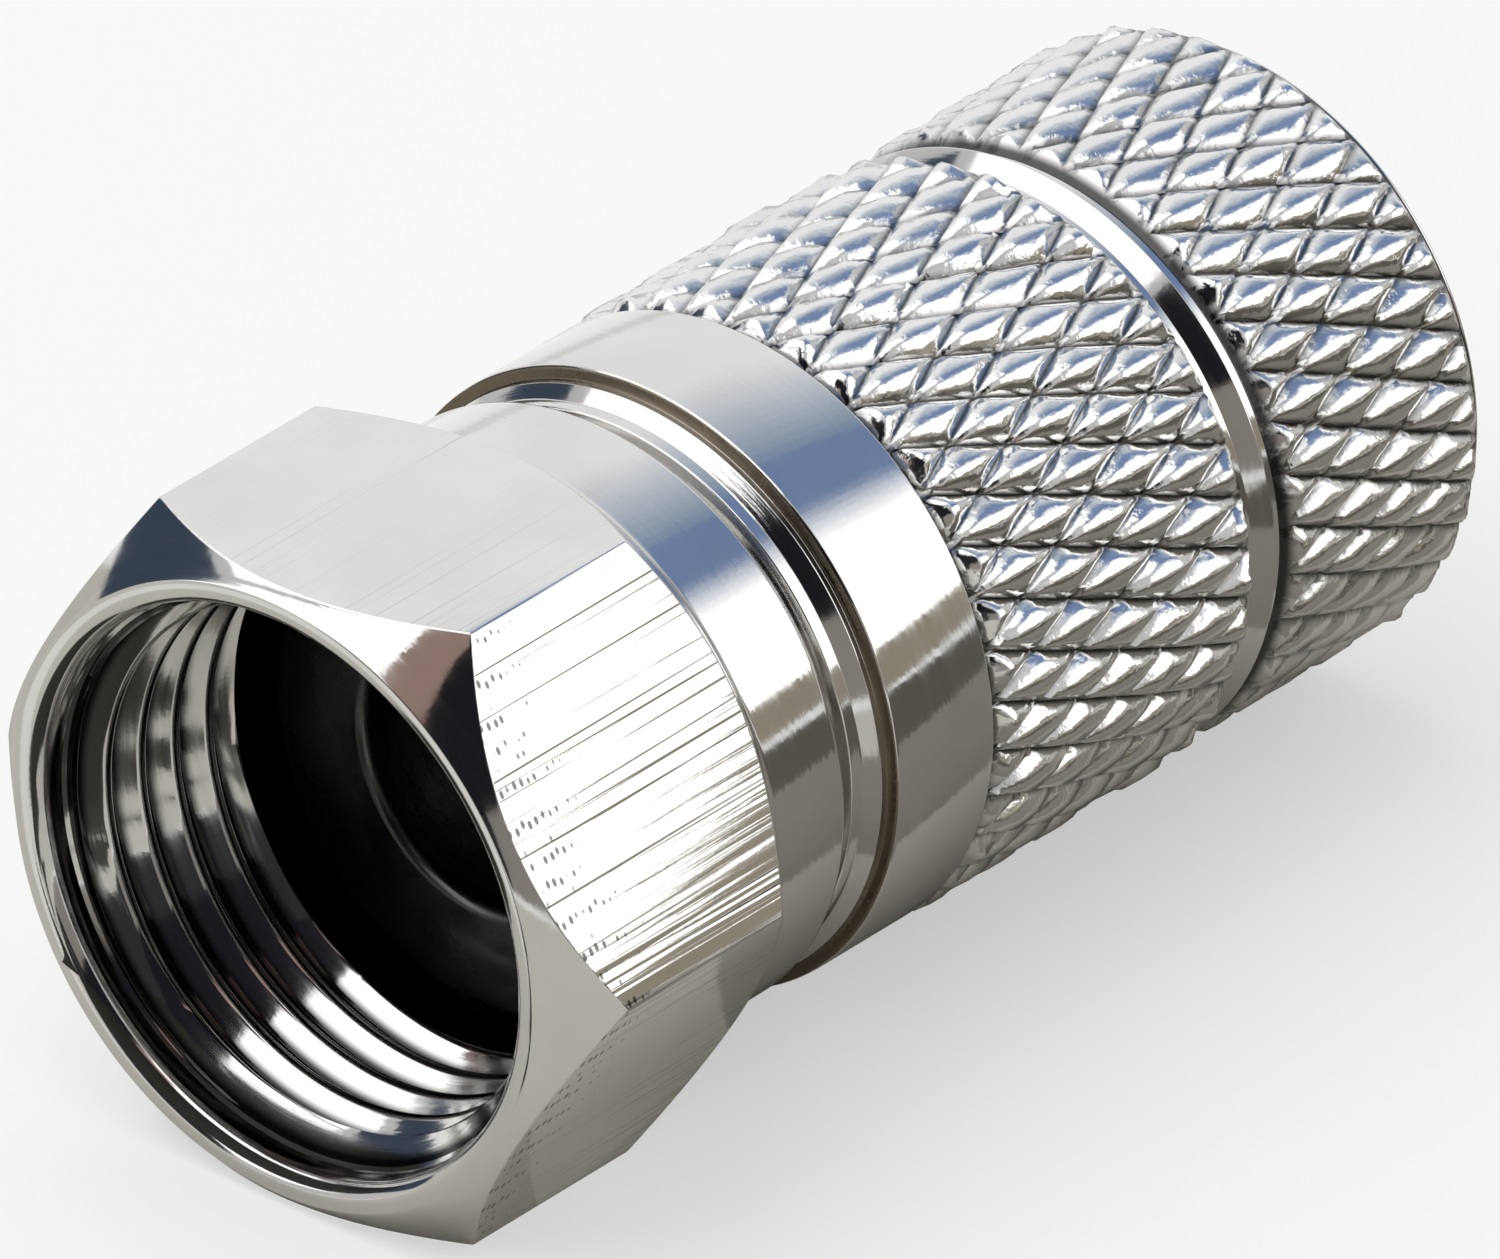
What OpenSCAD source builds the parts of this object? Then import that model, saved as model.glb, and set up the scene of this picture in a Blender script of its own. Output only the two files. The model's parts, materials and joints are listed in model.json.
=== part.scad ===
// Twist-on coaxial plug: a free-turning hexagon nut, held by a flanged ferrule
// that is pressed into a knurled sleeve. Every piece is turned about one axis.
// It lies on a flat of the nut, mouth towards -X, cable end towards +X.

/* [Coupling nut] */
// Width across the flats of the hexagon
nut_af = 11; // [10.8:0.1:13]
// Length from the mouth to the rear face
nut_len = 7.65; // [7.4:0.05:12]
// Length of the hexagon, with its chamfers
hex_len = 5.9; // [4:0.05:7]
// Diameter of the flat rim round the mouth
rim_d = 10.6; // [10.1:0.05:10.8]
// Diameter of the round collar behind the hexagon
nut_collar_d = 10.3; // [10:0.05:10.8]
// Radius of the rear edge
nut_edge_r = 0.45; // [0.1:0.05:0.8]
// Diameter of the plain lead-in at the mouth
lead_in_d = 9.7; // [9.4:0.05:9.9]
// Depth of the plain lead-in
lead_in_len = 0.6; // [0.3:0.05:1.2]
// Diameter over the crests of the inner thread
thread_d = 8.8; // [8.7:0.05:9.2]
// Length of the threaded wall
thread_len = 3.45; // [2.5:0.05:3.7]
// Diameter of the chamber that the flange turns in
chamber_d = 9.5; // [9.3:0.05:9.7]
// Thickness of the rear wall that holds the flange
lip_t = 1.45; // [0.8:0.05:1.8]

/* [Front ferrule] */
// Diameter of the flange
flange_d = 8.6; // [8:0.05:8.6]
// Thickness of the flange
flange_t = 1.2; // [0.6:0.05:1.4]
// Diameter of the neck that the nut turns on
neck_d = 6.8; // [6.4:0.05:7.4]
// Diameter of the shank pressed into the sleeve
shank_d = 6.2; // [5.6:0.05:6.3]
// Length of the shank
shank_len = 2.4; // [1.5:0.1:3]
// Diameter of the hole for the cable's insulation
ferrule_hole_d = 4.8; // [4:0.05:5]
// Chamfer on the flange and round the hole
ferrule_chamfer = 0.2; // [0.05:0.05:0.3]

/* [Knurled sleeve] */
// Diameter of the shoulder behind the nut
shoulder_d = 9.2; // [8.6:0.05:9.8]
// Length of the shoulder
shoulder_len = 0.95; // [0.5:0.05:2]
// Diameter of the plain collar
collar_d = 10.56; // [10.2:0.02:11]
// Length of the plain collar
collar_len = 2.3; // [1:0.05:5]
// Chamfer on the front edge of the collar
collar_chamfer = 0.2; // [0.05:0.05:0.4]
// Diameter of the core under the knurl and in the grooves
core_d = 10; // [9.6:0.05:10]
// Width of the relief between the collar and the knurl
relief_len = 0.15; // [0.1:0.05:0.5]
// Length of the front knurled band
front_band_len = 6.05; // [4:0.05:9]
// Width of the groove between the bands
groove_len = 0.95; // [0.4:0.05:2]
// Length of the rear knurled band
rear_band_len = 4.85; // [3:0.05:8]
// Plain length behind the rear band
tail_len = 0.1; // [0.05:0.05:0.5]
// Thickness of the front wall that grips the ferrule
wall_t = 2.6; // [1.6:0.1:3.5]
// Diameter over the crests of the bore for the cable's jacket
cable_bore_d = 6.7; // [6.4:0.05:7.5]
// Chamfer at the cable entry
entry_chamfer = 0.6; // [0.2:0.05:1]

/* [Knurl] */
// Grooves of each hand round the sleeve
knurl_starts = 36; // [24:1:40]
// Length of one diamond along the axis
diamond_len = 2; // [1.4:0.1:3]
// Diameter over the front band
front_knurl_d = 10.76; // [10.4:0.02:11]
// Diameter over the rear band
rear_knurl_d = 10.6; // [10.4:0.02:11]
// Diameter at the bottom of the knurl grooves
knurl_root_d = 10.1; // [10.1:0.02:10.3]
// Share of each diamond that is flat on top
diamond_flat = 0.4; // [0.2:0.05:0.7]
// Fall of the diamonds at the ends of a band
band_end_drop = 0.14; // [0:0.01:0.15]

/* [Fits] */
// Running clearance between the neck and the nut, on the radius
turn_clearance = 0.05; // [0.02:0.01:0.1]
// End play of the nut, on each side of its rear wall
end_play = 0.1; // [0.05:0.01:0.3]

/* [Hidden] */
$fn = 96;
over = 1; // how far a cutter runs past a face

hex_r = nut_af / 2 / cos(30);
chamfer_over = 0.2; // how far the chamfer cones run past the corners
chamfer_r = hex_r + chamfer_over;
thread_start = lead_in_len + (lead_in_d - thread_d) / 2;
thread_end = thread_start + thread_len;
lip_front = nut_len - lip_t;
lip_bore_r = neck_d / 2 + turn_clearance;

flange_back = lip_front - end_play;
flange_front = flange_back - flange_t;

sleeve_front = nut_len + end_play;
collar_front = sleeve_front + shoulder_len;
collar_back = collar_front + collar_len;
front_band = collar_back + relief_len;
groove_front = front_band + front_band_len;
rear_band = groove_front + groove_len;
sleeve_back = rear_band + rear_band_len + tail_len;
core_sink = 0.4; // how deep the knurl rings reach into the core

// Lays a piece down: local +Z becomes +X, and the hexagon rests on Z = 0.
module laid_down() {
    translate([-sleeve_back / 2, 0, nut_af / 2])
        rotate([0, 90, 0])
            children();
}

// A round bar from z0 to z1 whose far edge is rounded with radius e.
module round_end_bar(r, z0, z1, e) {
    rotate_extrude() {
        translate([0, z0])
            square([r, z1 - e - z0]);
        translate([0, z0])
            square([r - e, z1 - z0]);
        translate([r - e, z1 - e])
            intersection() {
                circle(e);
                square(e);
            }
    }
}

// Hexagon bar, turned down at both ends by 45 degree cones.
module hexagon() {
    intersection() {
        rotate([0, 0, 30])
            cylinder(r = hex_r, h = hex_len, $fn = 6);
        rotate_extrude()
            polygon([
                [0, 0],
                [rim_d / 2, 0],
                [chamfer_r, chamfer_r - rim_d / 2],
                [chamfer_r, hex_len - (chamfer_r - nut_collar_d / 2)],
                [nut_collar_d / 2, hex_len],
                [0, hex_len]
            ]);
    }
}

// The nut's inside, from the lead-in to the hole that turns on the neck.
module nut_cavity() {
    rotate_extrude()
        polygon([
            [0, -over],
            [lead_in_d / 2, -over],
            [lead_in_d / 2, lead_in_len],
            [thread_d / 2, thread_start],
            [thread_d / 2, thread_end],
            [chamber_d / 2, thread_end],
            [chamber_d / 2, lip_front],
            [lip_bore_r, lip_front],
            [lip_bore_r, nut_len + over],
            [0, nut_len + over]
        ]);
}

module coupling_nut() {
    color("gainsboro")
        laid_down()
            difference() {
                union() {
                    hexagon();
                    round_end_bar(nut_collar_d / 2, hex_len / 2, nut_len, nut_edge_r);
                }
                nut_cavity();
            }
}

module front_ferrule() {
    color("silver")
        laid_down()
            rotate_extrude()
                polygon([
                    [ferrule_hole_d / 2 + ferrule_chamfer, flange_front],
                    [flange_d / 2 - ferrule_chamfer, flange_front],
                    [flange_d / 2, flange_front + ferrule_chamfer],
                    [flange_d / 2, flange_back],
                    [neck_d / 2, flange_back],
                    [neck_d / 2, sleeve_front],
                    [shank_d / 2, sleeve_front],
                    [shank_d / 2, sleeve_front + shank_len],
                    [ferrule_hole_d / 2, sleeve_front + shank_len],
                    [ferrule_hole_d / 2, flange_front + ferrule_chamfer]
                ]);
}

// One knurled band as a ring: diamonds with flat tops, staggered from row to row,
// left standing between two sets of grooves that wind round in opposite directions.
// Row j lies at z0 + j * step. Even positions of a row hold diamonds, odd ones the
// crossings of the grooves, and every second row is shifted by one position.
module knurl_ring(z0, length, r_top) {
    s = knurl_starts;
    rows = max(2, round(length / diamond_len * 2));
    step = length / rows;
    turn = 180 / s;
    r_root = knurl_root_d / 2;
    r_in = core_d / 2 - core_sink;
    row_points = 5 * s;
    inner = (rows + 1) * row_points;

    function at(i, j, r) = [r * cos(i * turn), r * sin(i * turn), z0 + j * step];
    function is_end(j) = j == 0 || j == rows;
    function top_r(j) = is_end(j) ? r_top - band_end_drop : r_top;
    // Numbers of the points: a groove crossing, a corner of a diamond's top, the inside
    function crossing(k, j) = j * row_points + (k + s) % s;
    function top(k, j, corner) = j * row_points + s + 4 * ((k + s) % s) + corner;
    function inside(i, far) = inner + (far ? 2 * s : 0) + (i + 2 * s) % (2 * s);

    points = concat(
        [for (j = [0:rows]) each concat(
            [for (k = [0:s - 1]) at(2 * k + (j + 1) % 2, j, r_root)],
            [for (k = [0:s - 1]) let (i = 2 * k + j % 2) each [
                at(i - diamond_flat, j, top_r(j)),
                at(i + diamond_flat, j, top_r(j)),
                at(i, max(0, j - diamond_flat), j == 0 ? top_r(j) : r_top),
                at(i, min(rows, j + diamond_flat), j == rows ? top_r(j) : r_top)
            ]]
        )],
        [for (j = [0, rows], i = [0:2 * s - 1]) at(i, j, r_in)]
    );

    // Each diamond: its top, then the flanks towards the next row and the last one
    diamonds = [for (j = [0:rows], k = [0:s - 1]) let (
            left = crossing(k - 1 + j % 2, j),
            right = crossing(k + j % 2, j),
            t = [for (corner = [0:3]) top(k, j, corner)]
        ) each concat(
            [[t[2], t[0], t[3]], [t[2], t[3], t[1]]],
            j == rows ? [] : let (next = crossing(k, j + 1))
                [[left, next, t[3]], [left, t[3], t[0]], [right, t[1], t[3]], [right, t[3], next]],
            j == 0 ? [] : let (last = crossing(k, j - 1))
                [[left, t[0], t[2]], [left, t[2], last], [right, last, t[2]], [right, t[2], t[1]]]
        )];

    // End faces, half a diamond at a time, and the hidden inside
    near_end = [for (k = [0:s - 1]) let (i = 2 * k) each [
            [inside(i - 1, false), inside(i, false), top(k, 0, 2), top(k, 0, 0), crossing(k - 1, 0)],
            [inside(i, false), inside(i + 1, false), crossing(k, 0), top(k, 0, 1), top(k, 0, 2)]
        ]];
    far_end = [for (k = [0:s - 1]) let (i = 2 * k + rows % 2) each [
            [inside(i - 1, true), crossing(k - 1 + rows % 2, rows), top(k, rows, 0),
                top(k, rows, 3), inside(i, true)],
            [inside(i, true), top(k, rows, 3), top(k, rows, 1),
                crossing(k + rows % 2, rows), inside(i + 1, true)]
        ]];
    hidden = [for (i = [0:2 * s - 1])
        [inside(i, false), inside(i, true), inside(i + 1, true), inside(i + 1, false)]];

    polyhedron(points, concat(diamonds, near_end, far_end, hidden));
}

// The turned blank of the sleeve, bored through, with its core at groove depth.
module sleeve_blank() {
    rotate_extrude()
        polygon([
            [shank_d / 2, sleeve_front],
            [shoulder_d / 2, sleeve_front],
            [shoulder_d / 2, collar_front],
            [collar_d / 2 - collar_chamfer, collar_front],
            [collar_d / 2, collar_front + collar_chamfer],
            [collar_d / 2, collar_back],
            [core_d / 2, collar_back],
            [core_d / 2, sleeve_back],
            [cable_bore_d / 2 + entry_chamfer, sleeve_back],
            [cable_bore_d / 2, sleeve_back - entry_chamfer],
            [cable_bore_d / 2, sleeve_front + wall_t],
            [shank_d / 2, sleeve_front + wall_t]
        ]);
}

module knurled_sleeve() {
    color("lightgray")
        laid_down() {
            sleeve_blank();
            knurl_ring(front_band, front_band_len, front_knurl_d / 2);
            knurl_ring(rear_band, rear_band_len, rear_knurl_d / 2);
        }
}

coupling_nut();
front_ferrule();
knurled_sleeve();
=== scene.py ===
import json
import math

import bmesh
import bpy
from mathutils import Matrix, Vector, noise


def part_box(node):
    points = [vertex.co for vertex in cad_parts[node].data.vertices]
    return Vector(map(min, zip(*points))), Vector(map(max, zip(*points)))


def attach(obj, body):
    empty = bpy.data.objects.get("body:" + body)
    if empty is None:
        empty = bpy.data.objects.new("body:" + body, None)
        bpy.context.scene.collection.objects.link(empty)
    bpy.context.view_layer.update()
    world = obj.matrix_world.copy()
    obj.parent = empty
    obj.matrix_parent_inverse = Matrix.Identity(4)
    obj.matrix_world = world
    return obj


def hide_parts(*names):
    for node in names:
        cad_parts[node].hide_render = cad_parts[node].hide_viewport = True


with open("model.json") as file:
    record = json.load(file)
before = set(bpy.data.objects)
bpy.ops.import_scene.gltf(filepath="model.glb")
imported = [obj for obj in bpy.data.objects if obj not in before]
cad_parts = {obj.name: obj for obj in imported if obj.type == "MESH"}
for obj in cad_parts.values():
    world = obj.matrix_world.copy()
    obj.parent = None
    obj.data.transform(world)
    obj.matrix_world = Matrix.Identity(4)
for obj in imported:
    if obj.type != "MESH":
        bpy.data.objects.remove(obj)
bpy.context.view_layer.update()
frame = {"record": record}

scene = bpy.context.scene

# ---------------------------------------------------------------------------
# Camera: a long lens from the front left and above, close to parallel. All
# lengths of the plug are counted in millimetres from the nut's mouth, along
# the axis that every part is turned about.
mm = 0.001
nut_low, nut_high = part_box("coupling_nut")
mouth = nut_low.x
axis_z = (nut_low.z + nut_high.z) / 2
axis_point = Vector((0, 0, axis_z))

camera_azimuth = math.radians(-49.4)
camera_elevation = math.radians(30.65)
camera_distance = 0.6
view_width = 23.11 * mm
aim_right, aim_up = 7.37 * mm, 4.14 * mm
back = Vector((
    math.sin(camera_azimuth) * math.cos(camera_elevation),
    -math.cos(camera_azimuth) * math.cos(camera_elevation),
    math.sin(camera_elevation),
))
right = Vector((math.cos(camera_azimuth), math.sin(camera_azimuth), 0))
up = back.cross(right)
camera_data = bpy.data.cameras.new("camera")
camera_data.sensor_width = 36
camera_data.lens = camera_data.sensor_width * camera_distance / view_width
camera_data.clip_start = 0.01
camera_data.clip_end = 10
camera = bpy.data.objects.new("camera", camera_data)
scene.collection.objects.link(camera)
target = Vector((mouth, 0, axis_z)) + right * aim_right + up * aim_up
camera.location = target + back * camera_distance
camera.rotation_mode = "QUATERNION"
camera.rotation_quaternion = back.to_track_quat("Z", "Y")
scene.camera = camera
scene.view_settings.view_transform = "Standard"

# ---------------------------------------------------------------------------
# Table: a pale seamless sheet, lit by one soft lamp above and behind and by the
# even light of the studio. Half of what the lens and the plate see of it is
# plain white, which lights nothing.
floor_white = 0.92
plain_white_share = 0.5
studio_light = 0.58
floor_mesh = bpy.data.meshes.new("floor")
bm = bmesh.new()
bmesh.ops.create_grid(bm, x_segments=1, y_segments=1, size=3)
bm.to_mesh(floor_mesh)
bm.free()
floor = bpy.data.objects.new("floor", floor_mesh)
scene.collection.objects.link(floor)
floor_paint = bpy.data.materials.new("pale_floor")
floor_paint.use_nodes = True
floor_shader = floor_paint.node_tree.nodes["Principled BSDF"]
floor_shader.inputs["Base Color"].default_value = (floor_white, floor_white, floor_white, 1)
floor_shader.inputs["Roughness"].default_value = 0.9
floor_shader.inputs["Specular IOR Level"].default_value = 0.1
floor_nodes, floor_links = floor_paint.node_tree.nodes, floor_paint.node_tree.links
rays = floor_nodes.new("ShaderNodeLightPath")
seen = floor_nodes.new("ShaderNodeMath")
seen.operation = "MAXIMUM"
floor_links.new(rays.outputs["Is Camera Ray"], seen.inputs[0])
floor_links.new(rays.outputs["Is Glossy Ray"], seen.inputs[1])
seen_too = floor_nodes.new("ShaderNodeMath")
seen_too.operation = "MAXIMUM"
floor_links.new(seen.outputs["Value"], seen_too.inputs[0])
floor_links.new(rays.outputs["Is Transmission Ray"], seen_too.inputs[1])
share = floor_nodes.new("ShaderNodeMath")
share.operation = "MULTIPLY"
share.inputs[1].default_value = plain_white_share
floor_links.new(seen_too.outputs["Value"], share.inputs[0])
backdrop_white = floor_nodes.new("ShaderNodeEmission")
backdrop_white.inputs["Strength"].default_value = 1
both = floor_nodes.new("ShaderNodeMixShader")
floor_links.new(share.outputs["Value"], both.inputs[0])
floor_links.new(floor_shader.outputs["BSDF"], both.inputs[1])
floor_links.new(backdrop_white.outputs["Emission"], both.inputs[2])
floor_links.new(both.outputs["Shader"], floor_nodes["Material Output"].inputs["Surface"])
floor_mesh.materials.append(floor_paint)

world = bpy.data.worlds.new("studio")
scene.world = world
world.use_nodes = True
world.node_tree.nodes["Background"].inputs["Color"].default_value = (1, 1, 1, 1)
world.node_tree.nodes["Background"].inputs["Strength"].default_value = studio_light

lamp_distance = 0.3
lamp_side = Vector((-0.35, 0.30, 0.9)).normalized()
lamp_data = bpy.data.lights.new("soft_lamp", "AREA")
lamp_data.size = 0.4
lamp_data.energy = 0.62
lamp = bpy.data.objects.new("soft_lamp", lamp_data)
scene.collection.objects.link(lamp)
lamp.location = axis_point + lamp_side * lamp_distance
lamp.rotation_mode = "QUATERNION"
lamp.rotation_quaternion = lamp_side.to_track_quat("Z", "Y")
lamp.visible_camera = False
lamp.visible_glossy = False

# ---------------------------------------------------------------------------
# Boards that the bright plate mirrors: a wide ring round the plug, a brown one
# close to the nut's mouth, mats on the table and a small flag raised by the
# bore. They shape the shine and light nothing else.
board_distance = 0.4
side_lean = (12, 74)
pale_grey = (0.92, 0.925, 0.94)
dark_grey = (0.03, 0.03, 0.035)
black = (0.012, 0.012, 0.016)
near_board_distance = 12 * mm
bevel_point = axis_point + Vector((-11.3, -2.3, 5.1)) * mm
table_reach = 400
front_mat_end, right_mats_end = -9, 90
near_strip_edge, far_strip_edge = -8, -22
bottom_layer, middle_layer, top_layer = 0.02, 0.03, 0.04
bore_mat_black = (0.05, 0.05, 0.045)


def board_paint(name, colour, glowing):
    paint = bpy.data.materials.new(name)
    paint.use_nodes = True
    nodes = paint.node_tree.nodes
    nodes.remove(nodes["Principled BSDF"])
    coat = nodes.new("ShaderNodeEmission" if glowing else "ShaderNodeBsdfDiffuse")
    coat.inputs["Color"].default_value = (*colour, 1)
    paint.node_tree.links.new(coat.outputs[0], nodes["Material Output"].inputs["Surface"])
    return paint


def hang_board(name, mesh, paint):
    board = bpy.data.objects.new(name, mesh)
    scene.collection.objects.link(board)
    board.visible_camera = False
    board.visible_diffuse = False
    board.visible_shadow = False
    mesh.materials.append(paint)


def board(name, turn, lean, colour, distance=board_distance, middle=axis_point):
    """A curved board. turn is its span of angles round the plug's axis, from
    straight up toward the front; lean is its span of angles off the axis's rear end."""
    mesh = bpy.data.meshes.new(name)
    bm = bmesh.new()
    bmesh.ops.create_grid(bm, x_segments=16, y_segments=12, size=0.5)
    for vert in bm.verts:
        a = math.radians(turn[0] + (turn[1] - turn[0]) * (vert.co.x + 0.5))
        b = math.radians(lean[0] + (lean[1] - lean[0]) * (vert.co.y + 0.5))
        outward = Vector((math.cos(b), -math.sin(b) * math.sin(a), math.sin(b) * math.cos(a)))
        vert.co = middle + distance * outward
    bm.to_mesh(mesh)
    bm.free()
    hang_board(name, mesh, board_paint(name, colour, True))


def mat(name, x_span, y_span, height, colour):
    """A mat on the table, in millimetres from the plug's middle."""
    mesh = bpy.data.meshes.new(name)
    bm = bmesh.new()
    bmesh.ops.create_grid(bm, x_segments=1, y_segments=1, size=0.5)
    size = Vector((x_span[1] - x_span[0], y_span[1] - y_span[0], 1)) * mm
    middle = Vector((sum(x_span) / 2, sum(y_span) / 2, height)) * mm
    bmesh.ops.scale(bm, vec=size, verts=bm.verts)
    bmesh.ops.translate(bm, vec=middle, verts=bm.verts)
    bm.to_mesh(mesh)
    bm.free()
    hang_board(name, mesh, board_paint(name, colour, False))


def fade_boards(name, turn, lean, first, last, strips):
    """Narrow boards side by side that step from one colour to another."""
    width = (turn[1] - turn[0]) / strips
    for k in range(strips):
        colour = tuple(Vector(first).lerp(Vector(last), k / (strips - 1)))
        strip = (turn[0] + k * width, turn[0] + (k + 1) * width)
        board(f"{name}_{k}", strip, lean, colour)


board("top_board", (-150, -118), side_lean, pale_grey)
board("high_board", (-118, -84), side_lean, (0.74, 0.75, 0.74))
board("flat_board", (-84, -34), side_lean, pale_grey)
fade_boards("grey_board", (-34, 8), side_lean, (0.90, 0.905, 0.925), (0.25, 0.34, 0.47), strips=12)
board("blue_board", (8, 27), (24, 74), (0.185, 0.265, 0.455))
fade_boards("pale_board", (27, 41), (24, 78), (0.26, 0.34, 0.51), (1.3, 1.32, 1.34), strips=6)
board("white_board", (41, 78), (24, 82), (1.7, 1.7, 1.7))
board("far_right_board", (78, 110), (12, 90), (0.30, 0.27, 0.21))
board("behind_board", (-112, -56), (84, 115), (0.045, 0.062, 0.095))
board("overhead_board", (-50, 22), (74, 114), (1.4, 1.4, 1.4))
board("white_front_board", (-74, -2), (118, 152), (1.5, 1.5, 1.5))
board("black_front_board", (-2, 26), (114, 160), black)
board(
    "brown_board", (-3, 28), (108, 158), (0.33, 0.23, 0.20),
    distance=near_board_distance, middle=bevel_point,
)
board("camera_board", (26, 62), (98, 160), black)
board("low_front_board", (62, 110), (98, 141), (0.26, 0.24, 0.22))
board("low_facing_board", (62, 110), (141, 153), dark_grey)
board("facing_board", (-180, 180), (153, 179.5), dark_grey)
mat("front_mat", (-table_reach, front_mat_end), (-90, table_reach), bottom_layer, (0.58, 0.565, 0.52))
mat("left_mat", (front_mat_end, 6), (5.5, table_reach), bottom_layer, (0.52, 0.505, 0.465))
mat("rim_mat", (-32, -19.8), (-0.6, 14), middle_layer, (0.80, 0.79, 0.76))
mat("near_bore_mat", (-27, -16.6), (-5.5, -0.95), top_layer, bore_mat_black)
mat("side_bore_mat", (-27, -18.2), (-0.95, 0.3), top_layer, bore_mat_black)
mat("far_bore_mat", (-50, -27), (-13, -4.5), top_layer, bore_mat_black)
mat("bore_flag", (-16.3, -11.8), (1.2, 4.5), 2.5, (0.04, 0.04, 0.035))
mat("flat_mat", (front_mat_end, -3.6), (-7, 0), middle_layer, (0.72, 0.70, 0.64))
mat(
    "near_right_mat", (front_mat_end, right_mats_end), (near_strip_edge, 2),
    bottom_layer, (0.46, 0.44, 0.40),
)
mat(
    "right_mat", (front_mat_end, right_mats_end), (far_strip_edge, near_strip_edge),
    bottom_layer, (0.26, 0.245, 0.22),
)
mat(
    "far_right_mat", (front_mat_end, right_mats_end), (-table_reach, far_strip_edge),
    bottom_layer, (0.12, 0.11, 0.095),
)

# ---------------------------------------------------------------------------
# Coupling nut: turned from drawn hexagon bar of brass, both ends bevelled at
# 45 degrees, bored, tapped 3/8-32 and plated with bright nickel. A lip at its
# rear runs on the ferrule's neck.
nut_steps = 192
nut_length = (nut_high.x - mouth) / mm
rim_r = 5.3
lead_in_r = 4.85
flat_r = (nut_high.z - nut_low.z) / 2 / mm
blank_over = 0.2  # how far the round blank stands past the hexagon's corners
blank_r = flat_r / math.cos(math.pi / 6) + blank_over
collar_r = 5.15
hexagon_end = 5.9
chamber_r = 4.75
lip_front = nut_length - 1.45
lip_bore_r = 3.45
corner_wear = 0.03
mounts = {m["name"]: m for m in frame["record"]["mounts"]}
thread = mounts["coupling_thread"]
thread_crest_r = thread["dims"]["r_mm"]
thread_root_r = 4.7625
thread_pitch = 25.4 / 32
thread_mid = (thread["pos_m"][0] - mouth) / mm
thread_front = thread_mid - thread["dims"]["length_mm"] / 2 - (lead_in_r - thread_crest_r)
thread_back = thread_mid + thread["dims"]["length_mm"] / 2
seam = 0.04  # the gap that is left between two turned parts and then bridged
chamber_seam = 0.06


def soft_outline(corners, segments=4):
    """An outline of (x, r, corner radius) with each corner rounded by an arc."""
    points = []
    last = len(corners) - 1
    for i, (x, r, soft) in enumerate(corners):
        here = Vector((x, r))
        if soft == 0 or i in (0, last):
            points.append(here)
            continue
        before = (Vector(corners[i - 1][:2]) - here).normalized()
        after = (Vector(corners[i + 1][:2]) - here).normalized()
        half = before.angle(after) / 2
        run = soft / math.tan(half)
        centre = here + (before + after).normalized() * soft / math.sin(half)
        a, b = here + before * run - centre, here + after * run - centre
        sweep = a.angle(b)
        for k in range(segments + 1):
            t = k / segments
            arm = a * math.sin((1 - t) * sweep) + b * math.sin(t * sweep)
            points.append(centre + arm / math.sin(sweep))
    return points


def whole(bm):
    return [*bm.verts, *bm.edges, *bm.faces]


def verts_of(geom):
    return [g for g in geom if isinstance(g, bmesh.types.BMVert)]


def turn_on_lathe(bm, outline, steps):
    """Spins an outline of (x, r) in millimetres about the plug's axis."""
    rim = [bm.verts.new((mouth + x * mm, 0, axis_z + r * mm)) for x, r in outline]
    edges = [bm.edges.new(pair) for pair in zip(rim, rim[1:])]
    bmesh.ops.spin(
        bm, geom=rim + edges, cent=axis_point, axis=(1, 0, 0),
        angle=2 * math.pi, steps=steps, use_merge=True,
    )


def open_rim(bm, x):
    """The open edges that lie at one distance from the mouth."""
    plane, slack = mouth + x * mm, 0.004 * mm
    return [
        edge for edge in bm.edges
        if edge.is_boundary and all(abs(vert.co.x - plane) < slack for vert in edge.verts)
    ]


def join_rims(bm, x_a, x_b):
    bmesh.ops.bridge_loops(bm, edges=open_rim(bm, x_a) + open_rim(bm, x_b))


def slice_at(bm, x, side, clear):
    """Cuts the mesh at one distance along X and can clear what lies beyond."""
    bmesh.ops.bisect_plane(
        bm, geom=whole(bm), dist=1e-8,
        plane_co=(x, 0, 0), plane_no=(side, 0, 0), clear_outer=clear,
    )


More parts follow.
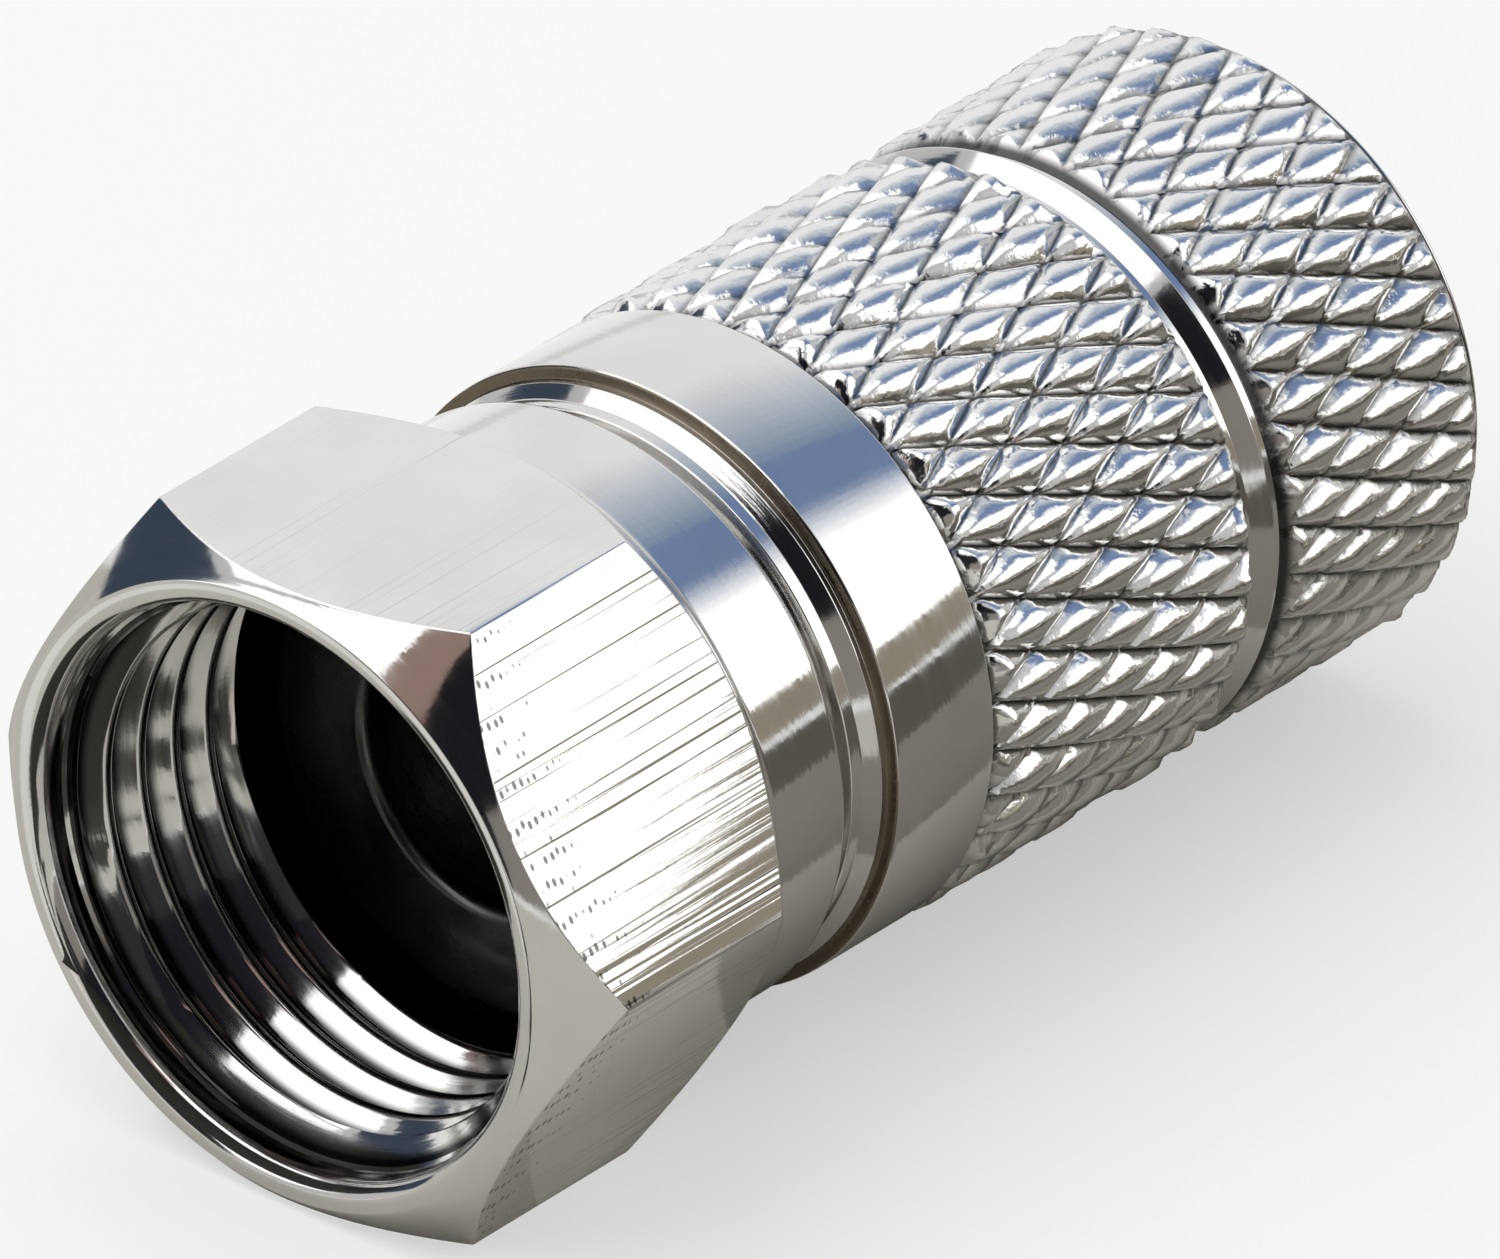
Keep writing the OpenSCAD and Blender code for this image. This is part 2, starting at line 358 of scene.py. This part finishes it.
def cut_thread(
    bm, front, rear, crest, root, pitch, crest_flat, root_flat, worn, front_r, rear_r, steps,
):
    """An inner right-hand thread with worn crest edges, open at both ends. Each
    end is cut away by a 45 degree funnel that starts at front_r or rear_r."""
    root_soft = 0.03
    funnel_cuts = 8
    outline = soft_outline([
        (0, crest, 0),
        (crest_flat / 2, crest, worn),
        ((pitch - root_flat) / 2, root, root_soft),
        ((pitch + root_flat) / 2, root, root_soft),
        (pitch - crest_flat / 2, crest, worn),
        (pitch, crest, 0),
    ], 2)
    part = bmesh.new()
    first_x = front - 2 * pitch
    rim = [part.verts.new((mouth + (first_x + x) * mm, 0, axis_z + r * mm)) for x, r in outline]
    edges = [part.edges.new(pair) for pair in zip(rim, rim[1:])]
    bmesh.ops.spin(
        part, geom=rim + edges, cent=axis_point, axis=(1, 0, 0), dvec=(pitch * mm / steps, 0, 0),
        angle=2 * math.pi, steps=steps,
    )
    one_turn = whole(part)
    for k in range(1, math.ceil((rear - front) / pitch) + 3):
        copy = bmesh.ops.duplicate(part, geom=one_turn)["geom"]
        bmesh.ops.translate(part, vec=(k * pitch * mm, 0, 0), verts=verts_of(copy))
    bmesh.ops.remove_doubles(part, verts=part.verts, dist=0.002 * mm)
    slice_at(part, mouth + front * mm, -1, True)
    slice_at(part, mouth + rear * mm, 1, True)
    for end, way, end_r in ((front, 1, front_r), (rear, -1, rear_r)):
        for k in range(1, funnel_cuts + 1):
            depth = (end_r - crest) * k / funnel_cuts
            slice_at(part, mouth + (end + way * depth) * mm, way, False)
        for vert in part.verts:
            from_axis = Vector((0, vert.co.y, vert.co.z - axis_z))
            funnel_r = end_r * mm - abs(vert.co.x - mouth - end * mm)
            if from_axis.length < funnel_r:
                vert.co += from_axis.normalized() * (funnel_r - from_axis.length)
    mesh = bpy.data.meshes.new("thread")
    part.to_mesh(mesh)
    part.free()
    bm.from_mesh(mesh)
    bpy.data.meshes.remove(mesh)


def finish_piece(bm, name, body, node, materials, sharp=32):
    """Closes the mesh, shades it softly up to a sharp angle, and hangs it on its body."""
    bmesh.ops.remove_doubles(bm, verts=bm.verts, dist=0.0001 * mm)
    bmesh.ops.recalc_face_normals(bm, faces=bm.faces)
    for face in bm.faces:
        face.smooth = True
    for edge in bm.edges:
        edge.smooth = len(edge.link_faces) == 2 and edge.calc_face_angle(0) < math.radians(sharp)
    mesh = bpy.data.meshes.new(name)
    bm.to_mesh(mesh)
    bm.free()
    piece = bpy.data.objects.new(name, mesh)
    scene.collection.objects.link(piece)
    for material in materials:
        mesh.materials.append(material)
    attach(piece, body)
    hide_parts(node)


def plate(name, colour, roughness, spread, grain, grain_depth, pit_depth):
    """Metal plate over tool marks. grain is the marks' number per metre along X, Y and Z."""
    low, high = 0.3, 0.7
    cloud_shade = 0.92
    material = bpy.data.materials.new(name)
    material.use_nodes = True
    nodes, links = material.node_tree.nodes, material.node_tree.links
    shader = nodes["Principled BSDF"]
    shader.inputs["Metallic"].default_value = 1
    place = nodes.new("ShaderNodeTexCoord")
    stretch = nodes.new("ShaderNodeMapping")
    stretch.inputs["Location"].default_value = (0, 0, -axis_z * grain[2])
    stretch.inputs["Scale"].default_value = grain
    links.new(place.outputs["Object"], stretch.inputs["Vector"])
    marks = nodes.new("ShaderNodeTexNoise")
    marks.inputs["Scale"].default_value = 1
    marks.inputs["Detail"].default_value = 3
    links.new(stretch.outputs["Vector"], marks.inputs["Vector"])
    specks = nodes.new("ShaderNodeTexNoise")
    specks.inputs["Scale"].default_value = 9000
    specks.inputs["Detail"].default_value = 3
    links.new(place.outputs["Object"], specks.inputs["Vector"])
    clouds = nodes.new("ShaderNodeTexNoise")
    clouds.inputs["Scale"].default_value = 500
    clouds.inputs["Detail"].default_value = 2
    links.new(place.outputs["Object"], clouds.inputs["Vector"])

    tone = nodes.new("ShaderNodeValToRGB")
    tone.color_ramp.elements[0].position = low
    tone.color_ramp.elements[1].position = high
    tone.color_ramp.elements[0].color = (*[c * cloud_shade for c in colour], 1)
    tone.color_ramp.elements[1].color = (*colour, 1)
    links.new(clouds.outputs["Fac"], tone.inputs["Fac"])
    links.new(tone.outputs["Color"], shader.inputs["Base Color"])

    rough = nodes.new("ShaderNodeMapRange")
    rough.inputs["From Min"].default_value = low
    rough.inputs["From Max"].default_value = high
    rough.inputs["To Min"].default_value = roughness * (1 - spread)
    rough.inputs["To Max"].default_value = roughness * (1 + spread)
    links.new(marks.outputs["Fac"], rough.inputs["Value"])
    links.new(rough.outputs["Result"], shader.inputs["Roughness"])

    lines = nodes.new("ShaderNodeBump")
    lines.inputs["Distance"].default_value = grain_depth * mm
    links.new(marks.outputs["Fac"], lines.inputs["Height"])
    pits = nodes.new("ShaderNodeBump")
    pits.inputs["Distance"].default_value = pit_depth * mm
    links.new(specks.outputs["Fac"], pits.inputs["Height"])
    links.new(lines.outputs["Normal"], pits.inputs["Normal"])
    links.new(pits.outputs["Normal"], shader.inputs["Normal"])
    return material


def painted_root_shade(material, root, unshaded, shade):
    """Painted shade in the bottom of a thread or knurl, between two radii in millimetres."""
    nodes, links = material.node_tree.nodes, material.node_tree.links
    place = nodes.new("ShaderNodeTexCoord")
    across = nodes.new("ShaderNodeMapping")
    across.inputs["Location"].default_value = (0, 0, -axis_z)
    across.inputs["Scale"].default_value = (0, 1, 1)
    links.new(place.outputs["Object"], across.inputs["Vector"])
    radius = nodes.new("ShaderNodeVectorMath")
    radius.operation = "LENGTH"
    links.new(across.outputs["Vector"], radius.inputs[0])
    root_darkening = nodes.new("ShaderNodeMapRange")
    root_darkening.interpolation_type = "SMOOTHSTEP"
    root_darkening.inputs["From Min"].default_value = root * mm
    root_darkening.inputs["From Max"].default_value = unshaded * mm
    root_darkening.inputs["To Min"].default_value = shade
    root_darkening.inputs["To Max"].default_value = 1
    links.new(radius.outputs["Value"], root_darkening.inputs["Value"])
    shaded = nodes.new("ShaderNodeVectorMath")
    shaded.operation = "SCALE"
    base = nodes["Principled BSDF"].inputs["Base Color"]
    links.new(base.links[0].from_socket, shaded.inputs[0])
    links.new(root_darkening.outputs["Result"], shaded.inputs["Scale"])
    links.new(shaded.outputs["Vector"], base)


def scratch(material, grain, width, depth):
    """Long shallow scratches over the other marks. grain is their number per metre
    along X, Y and Z."""
    nodes, links = material.node_tree.nodes, material.node_tree.links
    surface = nodes["Principled BSDF"].inputs["Normal"]
    place = nodes.new("ShaderNodeTexCoord")
    stretch = nodes.new("ShaderNodeMapping")
    stretch.inputs["Scale"].default_value = grain
    links.new(place.outputs["Object"], stretch.inputs["Vector"])
    field = nodes.new("ShaderNodeTexNoise")
    field.inputs["Scale"].default_value = 1
    field.inputs["Detail"].default_value = 1
    links.new(stretch.outputs["Vector"], field.inputs["Vector"])
    from_middle = nodes.new("ShaderNodeMath")
    from_middle.operation = "SUBTRACT"
    from_middle.inputs[1].default_value = 0.5
    links.new(field.outputs["Fac"], from_middle.inputs[0])
    distance = nodes.new("ShaderNodeMath")
    distance.operation = "ABSOLUTE"
    links.new(from_middle.outputs["Value"], distance.inputs[0])
    groove = nodes.new("ShaderNodeMapRange")
    groove.inputs["From Max"].default_value = width
    links.new(distance.outputs["Value"], groove.inputs["Value"])
    scratches = nodes.new("ShaderNodeBump")
    scratches.inputs["Distance"].default_value = depth * mm
    links.new(groove.outputs["Result"], scratches.inputs["Height"])
    links.new(surface.links[0].from_socket, scratches.inputs["Normal"])
    links.new(scratches.outputs["Normal"], surface)


def dark_spot_rows(material, grain, shift, front, rear, size, shade):
    """Rows of small dark spots in the base colour. They shrink from one distance behind the mouth to
    another, in millimetres."""
    soft_edge = 0.06
    nodes, links = material.node_tree.nodes, material.node_tree.links
    base = nodes["Principled BSDF"].inputs["Base Color"]
    place = nodes.new("ShaderNodeTexCoord")
    rows = nodes.new("ShaderNodeMapping")
    rows.inputs["Location"].default_value = (0, 0, shift)
    rows.inputs["Scale"].default_value = grain
    links.new(place.outputs["Object"], rows.inputs["Vector"])
    dots = nodes.new("ShaderNodeTexVoronoi")
    dots.inputs["Scale"].default_value = 1
    dots.inputs["Randomness"].default_value = 0.3
    links.new(rows.outputs["Vector"], dots.inputs["Vector"])
    along = nodes.new("ShaderNodeSeparateXYZ")
    links.new(place.outputs["Object"], along.inputs["Vector"])
    spot_size = nodes.new("ShaderNodeMapRange")
    spot_size.inputs["From Min"].default_value = mouth + front * mm
    spot_size.inputs["From Max"].default_value = mouth + rear * mm
    spot_size.inputs["To Min"].default_value = size
    spot_size.inputs["To Max"].default_value = 0
    links.new(along.outputs["X"], spot_size.inputs["Value"])
    past_spot = nodes.new("ShaderNodeMath")
    past_spot.operation = "SUBTRACT"
    links.new(dots.outputs["Distance"], past_spot.inputs[0])
    links.new(spot_size.outputs["Result"], past_spot.inputs[1])
    spot_tone = nodes.new("ShaderNodeMapRange")
    spot_tone.inputs["From Min"].default_value = -soft_edge
    spot_tone.inputs["From Max"].default_value = soft_edge
    spot_tone.inputs["To Min"].default_value = shade
    spot_tone.inputs["To Max"].default_value = 1
    links.new(past_spot.outputs["Value"], spot_tone.inputs["Value"])
    spotted = nodes.new("ShaderNodeVectorMath")
    spotted.operation = "SCALE"
    links.new(base.links[0].from_socket, spotted.inputs[0])
    links.new(spot_tone.outputs["Result"], spotted.inputs["Scale"])
    links.new(spotted.outputs["Vector"], base)


nickel = (0.80, 0.79, 0.775)
lathe_marks = (7000, 300, 300)
turned_nickel = plate(
    "turned_nickel", nickel, roughness=0.09, spread=0.4,
    grain=lathe_marks, grain_depth=0.0032, pit_depth=0.0005,
)
tapped_nickel = plate(
    "tapped_nickel", nickel, roughness=0.10, spread=0.4,
    grain=lathe_marks, grain_depth=0.003, pit_depth=0.0005,
)
# Painted shade darkens the roots of the thread and the chamber behind it.
painted_root_shade(tapped_nickel, root=thread_root_r - 0.02, unshaded=thread_crest_r + 0.2, shade=0.07)
drawn_nickel = plate(
    "drawn_nickel", (0.82, 0.81, 0.79), roughness=0.10, spread=0.4,
    grain=(150, 6000, 6000), grain_depth=0.006, pit_depth=0.0008,
)
scratch(drawn_nickel, grain=(40, 3300, 3300), width=0.06, depth=0.0042)
# Rows of dark spots in the flats' base colour, near their front edge.
dark_spot_rows(
    drawn_nickel, grain=(6600, 3600, 3600), shift=0.05,
    front=0.9, rear=2.3, size=0.27, shade=0.22,
)

bm = bmesh.new()
turn_on_lathe(bm, soft_outline([
    (thread_front - seam, lead_in_r, 0),
    (0, lead_in_r, 0.34),
    (0, rim_r, 0.06),
    (blank_r - rim_r, blank_r, 0),
    (hexagon_end - (blank_r - collar_r), blank_r, 0),
    (hexagon_end, collar_r, 0.25),
    (nut_length, collar_r, 0.14),
    (nut_length, lip_bore_r, 0.08),
    (lip_front, lip_bore_r, 0.05),
    (lip_front, chamber_r, 0.05),
    (thread_back + chamber_seam, chamber_r, 0),
]), nut_steps)
flat_slot, tapped_slot = 1, 2
for k in range(6):
    phi = k * math.pi / 3
    outward = Vector((0, -math.sin(phi), math.cos(phi)))
    cut = bmesh.ops.bisect_plane(
        bm, geom=whole(bm), dist=1e-7,
        plane_co=axis_point + outward * flat_r * mm, plane_no=outward, clear_outer=True,
    )["geom_cut"]
    cut_edges = [g for g in cut if isinstance(g, bmesh.types.BMEdge)]
    for face in bmesh.ops.contextual_create(bm, geom=cut_edges)["faces"]:
        face.material_index = flat_slot
flat_edges = [e for e in bm.edges if any(f.material_index == flat_slot for f in e.link_faces)]
bmesh.ops.bevel(
    bm, geom=flat_edges, offset=corner_wear * mm, segments=2, profile=0.5,
    affect="EDGES", material=-1, clamp_overlap=True,
)
cut_thread(
    bm, thread_front, thread_back, thread_crest_r, thread_root_r, thread_pitch,
    crest_flat=0.16, root_flat=0.12, worn=0.1,
    front_r=lead_in_r, rear_r=chamber_r, steps=nut_steps,
)
join_rims(bm, thread_front - seam, thread_front)
join_rims(bm, thread_back, thread_back + chamber_seam)
tapped_front = 0.1
tapped_r = lead_in_r - 0.06
for face in bm.faces:
    middle = face.calc_center_median()
    inside = math.hypot(middle.y, middle.z - axis_z) < tapped_r * mm
    if inside and mouth + tapped_front * mm < middle.x < mouth + lip_front * mm:
        face.material_index = tapped_slot
finish_piece(bm, "nut_with_thread", "nut", "coupling_nut", [turned_nickel, drawn_nickel, tapped_nickel])

# ---------------------------------------------------------------------------
# Front ferrule: a turned, plated tube with a flange. The flange turns inside
# the nut's chamber and the shank is pressed into the sleeve's front wall.
ferrule_steps = 128
ferrule_low, ferrule_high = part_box("front_ferrule")
ferrule_front = (ferrule_low.x - mouth) / mm
ferrule_back = (ferrule_high.x - mouth) / mm
sleeve_low, sleeve_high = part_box("knurled_sleeve")
sleeve_front = (sleeve_low.x - mouth) / mm
hole_r = mounts["insulation_hole"]["dims"]["r_mm"]
hole_start = ferrule_front + 1
flange_r = (ferrule_high.z - ferrule_low.z) / 2 / mm
flange_back = lip_front - 0.1
neck_r = 3.4
shank_r = 3.1
# The ferrule sits deep inside the nut; its nickel is painted nearly black as painted shade.
painted_deep_shade_nickel = plate(
    "painted_deep_shade_nickel", (0.115, 0.112, 0.108), roughness=0.27, spread=0.4,
    grain=(5000, 900, 900), grain_depth=0.003, pit_depth=0.001,
)

bm = bmesh.new()
turn_on_lathe(bm, soft_outline([
    (hole_start, hole_r, 0),
    (ferrule_front, hole_r, 0.2),
    (ferrule_front, flange_r, 0.2),
    (flange_back, flange_r, 0.06),
    (flange_back, neck_r, 0.05),
    (sleeve_front, neck_r, 0.03),
    (sleeve_front, shank_r, 0.03),
    (ferrule_back, shank_r, 0.1),
    (ferrule_back, hole_r, 0.06),
    (hole_start, hole_r, 0),
]), ferrule_steps)
finish_piece(bm, "ferrule_with_flange", "sleeve", "front_ferrule", [painted_deep_shade_nickel])

# ---------------------------------------------------------------------------
# Knurled sleeve: one turned brass piece, plated. Two rollers press a diamond
# knurl into the blank, a groove parts it into two bands, and a coarse thread
# in the rear bore bites into the cable's jacket.
sleeve_steps = 144
sleeve_back = (sleeve_high.x - mouth) / mm
shoulder_r = 4.6
crown_r = shoulder_r + 0.45
collar_front = sleeve_front + 0.95
collar_back = collar_front + 2.3
plain_r = 5.28
core_r = 5.0
front_band = collar_back + 0.15
front_band_end = front_band + 6.2
rear_band = front_band_end + 0.9
rear_band_end = sleeve_back - 0.1
front_top_r = 5.38
rear_top_r = 5.3
groove_r = 5.08
starts = 36
diamond_length = 2.0
parting_r = core_r - 0.05
parting_front = front_band_end + 0.08
parting_back = front_band_end + 0.26
ring_top = front_band_end + 0.60
ring_back = front_band_end + 0.66
wall_back = sleeve_front + 2.6
jacket_crest_r = mounts["cable_entry"]["dims"]["r_mm"]
jacket_root_r = 3.8
entry_r = 3.95
jacket_pitch = 1.5
jacket_front = wall_back + 0.4
jacket_back = sleeve_back - 0.06
jacket_seam = 0.1
tail_seam = 0.03
knurled_nickel = plate(
    "knurled_nickel", (0.88, 0.87, 0.855), roughness=0.14, spread=0.5,
    grain=(2600, 2600, 2600), grain_depth=0.015, pit_depth=0.006,
)
# The collar's front face, deep in the gap behind the nut, gets painted shade: a dark brown nickel.
painted_shade_nickel = plate(
    "painted_shade_nickel", (0.21, 0.175, 0.13), roughness=0.3, spread=0.4,
    grain=(2600, 2600, 2600), grain_depth=0.01, pit_depth=0.004,
)
# Painted shade darkens the grooves between the knurl's diamonds.
painted_root_shade(knurled_nickel, root=groove_r - 0.03, unshaded=groove_r + 0.12, shade=0.1)
knurl_slot, shade_slot = 1, 2


def knurled_band(start, stop, top, front_bevel, rear_bevel):
    """Diamonds laid out flat, staggered row by row, then rolled round the core.
    One family of grooves is a little shallower than the other."""
    grid_lines = (0, 0.11, 0.28, 0.5, 0.72, 0.89, 1)
    roundness = 2.2
    shallow_root, shallow_flank, deep_flank = 0.1, 1.1, 1.15
    least_height, height_spread = 0.82, 0.18
    fine_wobble, broad_wobble, full_wobble_height = 0.03, 0.02, 0.1
    length = stop - start
    rows = round(length / diamond_length * 2)
    half_long = length / rows
    half_wide = math.pi * top / starts
    cells = len(grid_lines) - 1
    sheet = bmesh.new()
    bmesh.ops.create_grid(sheet, x_segments=cells, y_segments=cells, size=0.5)
    for vert in sheet.verts:
        u, v = (grid_lines[round((c + 0.5) * cells)] for c in vert.co.xy)
        crown_u, crown_v = (1 - abs(2 * w - 1) ** roundness for w in (u, v))
        rise = min(shallow_root + shallow_flank * crown_u, deep_flank * crown_v, 1)
        vert.co = ((u + v - 1) * half_long, (u - v) * half_wide, rise * (top - groove_r))
    for count, step in (
        (starts, (0, 2 * half_wide, 0)),
        (rows // 2 + 1, (2 * half_long, 0, 0)),
        (2, (half_long, half_wide, 0)),
    ):
        pattern = whole(sheet)
        for k in range(1, count):
            copy = bmesh.ops.duplicate(sheet, geom=pattern)["geom"]
            bmesh.ops.translate(sheet, vec=Vector(step) * k, verts=verts_of(copy))
    for vert in sheet.verts:
        a, b = vert.co.x / half_long, vert.co.y / half_wide
        a, b = (a + b) / 2, (a - b) / 2
        if max(abs(a - round(a)), abs(b - round(b))) < 0.49:
            own_height = noise.cell(Vector((round(a), round(b), top)) * 1.01)
            vert.co.z *= least_height + height_spread * own_height
    bmesh.ops.remove_doubles(sheet, verts=sheet.verts, dist=0.001)
    slice_at(sheet, 0, -1, True)
    slice_at(sheet, length, 1, True)
    slice_at(sheet, front_bevel, -1, False)
    slice_at(sheet, length - rear_bevel, 1, False)
    for vert in sheet.verts:
        x, y, height = vert.co
        angle = y / half_wide * math.pi / starts
        around = Vector((0, -math.sin(angle), math.cos(angle)))
        place = axis_point + around * top * mm
        place.x = mouth + (start + x) * mm
        wobble = noise.noise(place * 2400) * fine_wobble + noise.noise(place * 900) * broad_wobble
        wobble *= min(1, height / full_wobble_height)
        bevelled_r = top - max(front_bevel - x, rear_bevel - length + x)
        radius = min(groove_r + height + wobble, bevelled_r, top)
        vert.co = axis_point + around * radius * mm
        vert.co.x = place.x
    bmesh.ops.remove_doubles(sheet, verts=sheet.verts, dist=0.0005 * mm)
    for face in sheet.faces:
        face.material_index = knurl_slot
    for x in (start, stop):
        skirt = bmesh.ops.extrude_edge_only(sheet, edges=open_rim(sheet, x))["geom"]
        for vert in verts_of(skirt):
            outward = Vector((0, vert.co.y, vert.co.z - axis_z)).normalized()
            vert.co = Vector((vert.co.x, 0, axis_z)) + outward * core_r * mm
    mesh = bpy.data.meshes.new("band")
    sheet.to_mesh(mesh)
    sheet.free()
    return mesh


bm = bmesh.new()
turn_on_lathe(bm, soft_outline([
    (jacket_front - jacket_seam, jacket_root_r, 0),
    (wall_back, jacket_root_r, 0.1),
    (wall_back, shank_r, 0.05),
    (sleeve_front, shank_r, 0.04),
    (sleeve_front, shoulder_r - 0.15, 0.05),
    (sleeve_front + 0.27, shoulder_r - 0.1, 0.03),
    (sleeve_front + 0.34, shoulder_r + 0.26, 0.04),
    (sleeve_front + 0.57, shoulder_r + 0.27, 0.08),
    (sleeve_front + 0.82, crown_r, 0.04),
    (collar_front, crown_r, 0.04),
    (collar_front, plain_r, 0.07),
    (collar_back, plain_r, 0.05),
    (collar_back, core_r, 0.04),
    (front_band - seam, core_r, 0),
]), sleeve_steps)
turn_on_lathe(bm, soft_outline([
    (rear_band_end + tail_seam, core_r, 0),
    (sleeve_back, core_r, 0.06),
    (sleeve_back, entry_r, 0.02),
    (jacket_back + tail_seam, entry_r, 0),
]), sleeve_steps)
turn_on_lathe(bm, soft_outline([
    (front_band_end + seam, core_r, 0),
    (parting_front, parting_r, 0.02),
    (parting_back, parting_r, 0.04),
    (ring_top, core_r + 0.18, 0.03),
    (ring_back, core_r - 0.02, 0.02),
    (rear_band - seam, core_r, 0),
]), sleeve_steps)
cut_thread(
    bm, jacket_front, jacket_back, jacket_crest_r, jacket_root_r, jacket_pitch,
    crest_flat=0.24, root_flat=0.3, worn=0.1,
    front_r=jacket_root_r, rear_r=entry_r, steps=sleeve_steps,
)
join_rims(bm, jacket_front - jacket_seam, jacket_front)
join_rims(bm, jacket_back, jacket_back + tail_seam)
for start, stop, top, front_bevel, rear_bevel in (
    (front_band, front_band_end, front_top_r, 0.3, 0.26),
    (rear_band, rear_band_end, rear_top_r, 0.3, 0.3),
):
    band = knurled_band(start, stop, top, front_bevel, rear_bevel)
    bm.from_mesh(band)
    bpy.data.meshes.remove(band)
join_rims(bm, front_band - seam, front_band)
join_rims(bm, front_band_end, front_band_end + seam)
join_rims(bm, rear_band - seam, rear_band)
join_rims(bm, rear_band_end, rear_band_end + tail_seam)
# Faces on the collar's front face take the painted shade.
shade_low_r, shade_high_r = shoulder_r + 0.4, plain_r - 0.03
face_slack = 0.03
for face in bm.faces:
    middle = face.calc_center_median()
    from_mouth = (middle.x - mouth) / mm
    radius = math.hypot(middle.y, middle.z - axis_z) / mm
    if abs(from_mouth - collar_front) < face_slack and shade_low_r < radius < shade_high_r:
        face.material_index = shade_slot
finish_piece(
    bm, "sleeve_with_knurl", "sleeve", "knurled_sleeve",
    [turned_nickel, knurled_nickel, painted_shade_nickel], sharp=55,
)
